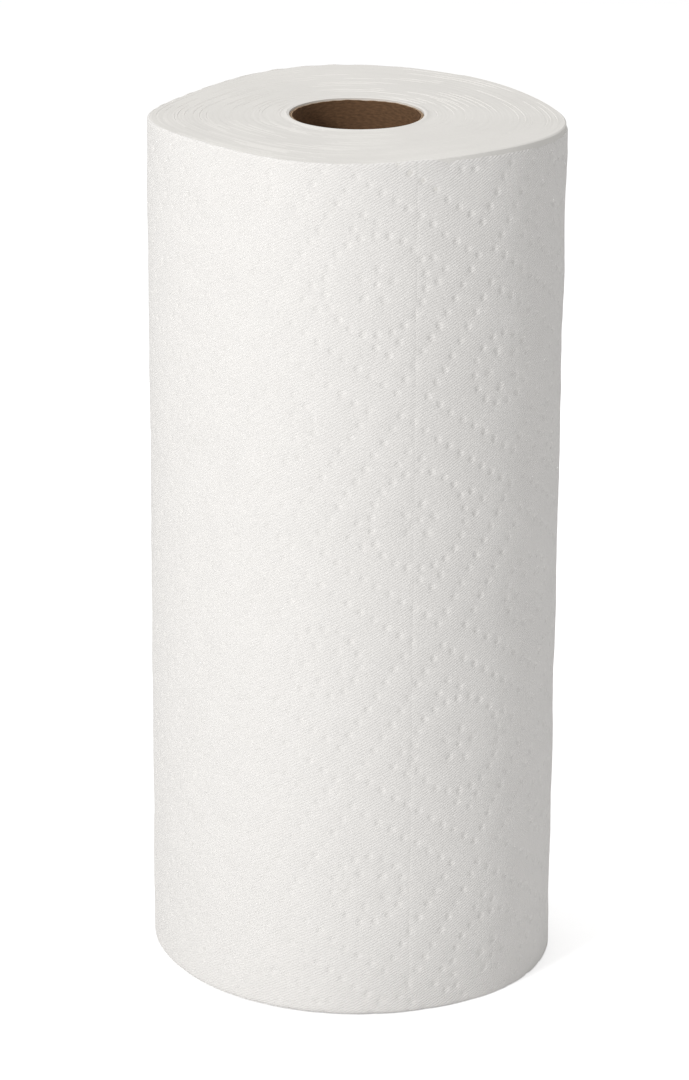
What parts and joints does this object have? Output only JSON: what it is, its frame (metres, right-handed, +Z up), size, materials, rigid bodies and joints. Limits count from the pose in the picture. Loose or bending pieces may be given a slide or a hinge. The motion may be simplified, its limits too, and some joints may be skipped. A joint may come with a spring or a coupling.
{
  "type": "paper towel roll",
  "caption": "Roll of white embossed paper towel wound on a cardboard core, standing on its end, with a bore for a holder's post or spindle.",
  "frame": {"origin": "centre of the core's lower end, on the plane that the roll stands on", "axes": "+Z up along the core's axis; +X to the right and +Y to the back when the roll is seen from the front, with the sheet's loose edge at the back"},
  "size_m": [0.1321, 0.1315, 0.2794],
  "materials": {
    "towel_paper": "matte",
    "core_card": "matte"
  },
  "bodies": {
    "root": {"paper_roll": "towel_paper", "core_tube": "core_card"}
  },
  "joints": []
}
